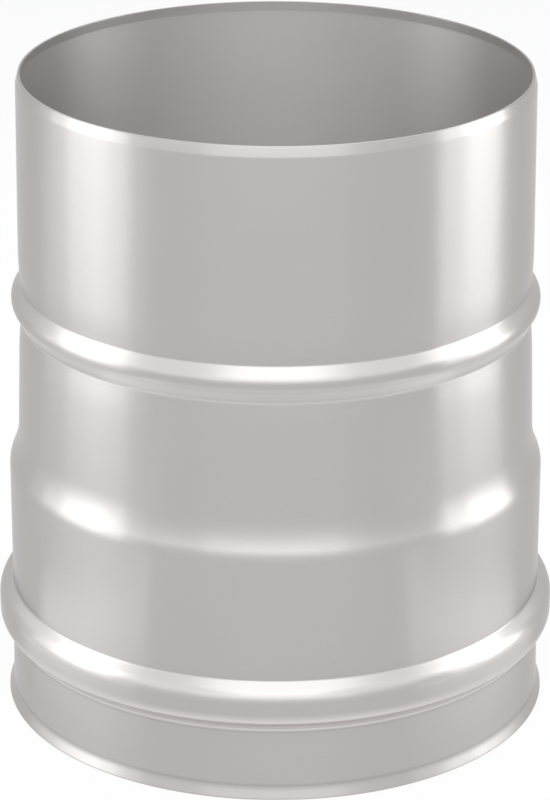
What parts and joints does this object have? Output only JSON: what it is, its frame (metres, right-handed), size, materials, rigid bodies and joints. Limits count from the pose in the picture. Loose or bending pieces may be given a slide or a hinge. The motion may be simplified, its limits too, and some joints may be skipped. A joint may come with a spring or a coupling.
{
  "type": "pipe reducer",
  "caption": "Single-wall sheet steel pipe reducer: a plain spigot with a stop bead, a flared step and a wider socket with a seal bead.",
  "frame": {"origin": "centre of the socket lip's cut edge, at the bottom of the tube", "axes": "+Z along the tube's axis, from the wide socket at the bottom to the narrow spigot at the top"},
  "size_m": [0.1383, 0.1382, 0.16],
  "materials": {
    "satin_steel": "satin"
  },
  "bodies": {
    "root": {"reducer_tube": "satin_steel"}
  },
  "joints": []
}
